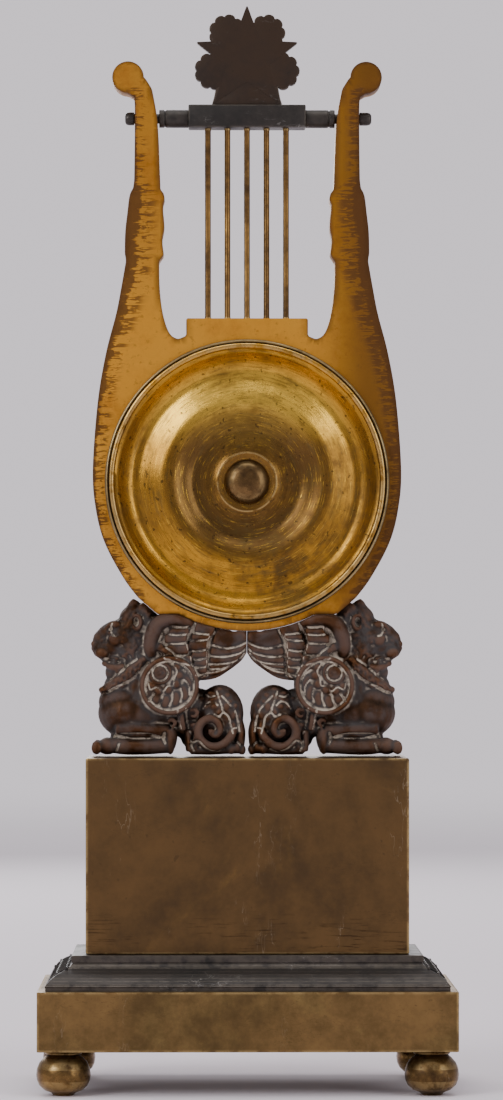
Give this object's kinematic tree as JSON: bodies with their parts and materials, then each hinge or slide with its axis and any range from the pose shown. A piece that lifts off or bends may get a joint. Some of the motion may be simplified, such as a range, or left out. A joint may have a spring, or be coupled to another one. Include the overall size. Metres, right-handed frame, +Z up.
{
  "type": "lyre mantel clock",
  "caption": "Lyre-shaped mantel clock: turned round movement case in a gilt lyre with strings, carried by two winged lions on a brass pedestal, moulding and footed plinth",
  "frame": {"origin": "on the table, under the middle of the clock's bounding box", "axes": "+Z up, +X to the viewer's right from the dial side, +Y out of the rear; the dial faces -Y"},
  "size_m": [0.1554, 0.085, 0.4044],
  "materials": {
    "gilt_bronze": "worn matt gilding",
    "aged_brass": "tarnished turned brass",
    "brown_brass": "brown tarnished brass",
    "dark_bronze": "dark patina",
    "black_bronze": "near-black patina",
    "movement_brass": "fine matt brass",
    "steel": "plain polished steel",
    "blue_steel": "heat-blued",
    "enamel": "white enamel",
    "clear_glass": "clear"
  },
  "bodies": {
    "clock": {"plinth": "aged_brass", "base_moulding": "black_bronze", "pedestal": "brown_brass", "foot_front_right": "aged_brass", "foot_front_left": "aged_brass", "foot_rear_right": "aged_brass", "foot_rear_left": "aged_brass", "base_bolt_1": "steel", "base_bolt_2": "steel", "lion_left": "dark_bronze", "lion_right": "dark_bronze", "lion_nut_left": "steel", "lion_nut_right": "steel", "lyre_frame": "gilt_bronze", "lyre_pin_left": "steel", "lyre_pin_right": "steel", "string_1": "brown_brass", "string_2": "brown_brass", "string_3": "brown_brass", "string_4": "brown_brass", "string_5": "brown_brass", "crossbar_block": "black_bronze", "crossbar_rod": "black_bronze", "crossbar_knob": "black_bronze", "crossbar_sleeve_left": "black_bronze", "crossbar_sleeve_right": "black_bronze", "crown_ornament": "black_bronze", "drum": "aged_brass", "rear_ring": "aged_brass", "bezel_hinge_pin": "steel", "dial": "enamel", "front_plate": "movement_brass", "back_plate": "movement_brass", "pillar_1": "movement_brass", "pillar_2": "movement_brass", "pillar_3": "movement_brass", "back_cock": "movement_brass"},
    "bezel_door": {"bezel": "gilt_bronze", "glass": "clear_glass"},
    "back": {"back_cover": "aged_brass", "back_cover_boss": "brown_brass"},
    "minutes": {"centre_wheel": "movement_brass", "cannon_pinion": "steel", "minute_hand": "blue_steel", "hand_nut": "steel"},
    "hours": {"hour_wheel": "movement_brass", "hour_hand": "blue_steel"},
    "motion_wheel": {"minute_wheel": "movement_brass"},
    "power": {"barrel": "movement_brass", "barrel_cover": "movement_brass", "mainspring": "steel"},
    "winder": {"winding_arbor": "steel", "ratchet_wheel": "steel"},
    "click_lever": {"click": "steel"},
    "third": {"third_wheel": "movement_brass"},
    "fourth": {"fourth_wheel": "movement_brass"},
    "escape": {"escape_wheel": "movement_brass"},
    "swing": {"pallet_arbor": "steel", "pendulum": "steel", "pendulum_bob": "movement_brass"}
  },
  "joints": [
    {"name": "bezel_open", "type": "hinge", "parent": "clock", "child": "bezel_door", "pos_m": [-0.0552, -0.02235, 0.2262], "axis": [0, 0, -1], "range_deg": [0, 105]},
    {"name": "back_cover_pull", "type": "slide", "parent": "clock", "child": "back", "axis": [0, 1, 0], "range_m": [0, 0.06]},
    {"name": "minute_turn", "type": "hinge", "parent": "clock", "child": "minutes", "pos_m": [0, 0, 0.2262], "axis": [0, 1, 0], "continuous": true},
    {"name": "hour_turn", "type": "hinge", "parent": "clock", "child": "hours", "pos_m": [0, 0, 0.2262], "axis": [0, 1, 0], "continuous": true},
    {"name": "minute_wheel_turn", "type": "hinge", "parent": "clock", "child": "motion_wheel", "pos_m": [0.00902, 0, 0.22949], "axis": [0, 1, 0], "continuous": true},
    {"name": "barrel_turn", "type": "hinge", "parent": "clock", "child": "power", "pos_m": [-0.01683, 0, 0.20937], "axis": [0, 1, 0], "continuous": true},
    {"name": "winding_turn", "type": "hinge", "parent": "clock", "child": "winder", "pos_m": [-0.01683, 0, 0.20937], "axis": [0, 1, 0], "continuous": true},
    {"name": "click_lift", "type": "hinge", "parent": "clock", "child": "click_lever", "pos_m": [-0.0258, 0, 0.21737], "axis": [0, 1, 0], "range_deg": [0, 8]},
    {"name": "third_turn", "type": "hinge", "parent": "clock", "child": "third", "pos_m": [0.01068, 0, 0.23573], "axis": [0, 1, 0], "continuous": true},
    {"name": "fourth_turn", "type": "hinge", "parent": "clock", "child": "fourth", "pos_m": [0.00785, 0, 0.2469], "axis": [0, 1, 0], "continuous": true},
    {"name": "escape_turn", "type": "hinge", "parent": "clock", "child": "escape", "pos_m": [0, 0, 0.2489], "axis": [0, 1, 0], "continuous": true},
    {"name": "pendulum_swing", "type": "hinge", "parent": "clock", "child": "swing", "pos_m": [0, 0, 0.2587], "axis": [0, 1, 0], "range_deg": [-5, 5]}
  ],
  "couplings": [
    {"joint": "barrel_turn", "follows": "minute_turn", "ratio": -0.16667},
    {"joint": "third_turn", "follows": "minute_turn", "ratio": -8},
    {"joint": "fourth_turn", "follows": "minute_turn", "ratio": 56},
    {"joint": "escape_turn", "follows": "minute_turn", "ratio": -280},
    {"joint": "minute_wheel_turn", "follows": "minute_turn", "ratio": -0.33333},
    {"joint": "hour_turn", "follows": "minute_turn", "ratio": 0.083333}
  ]
}
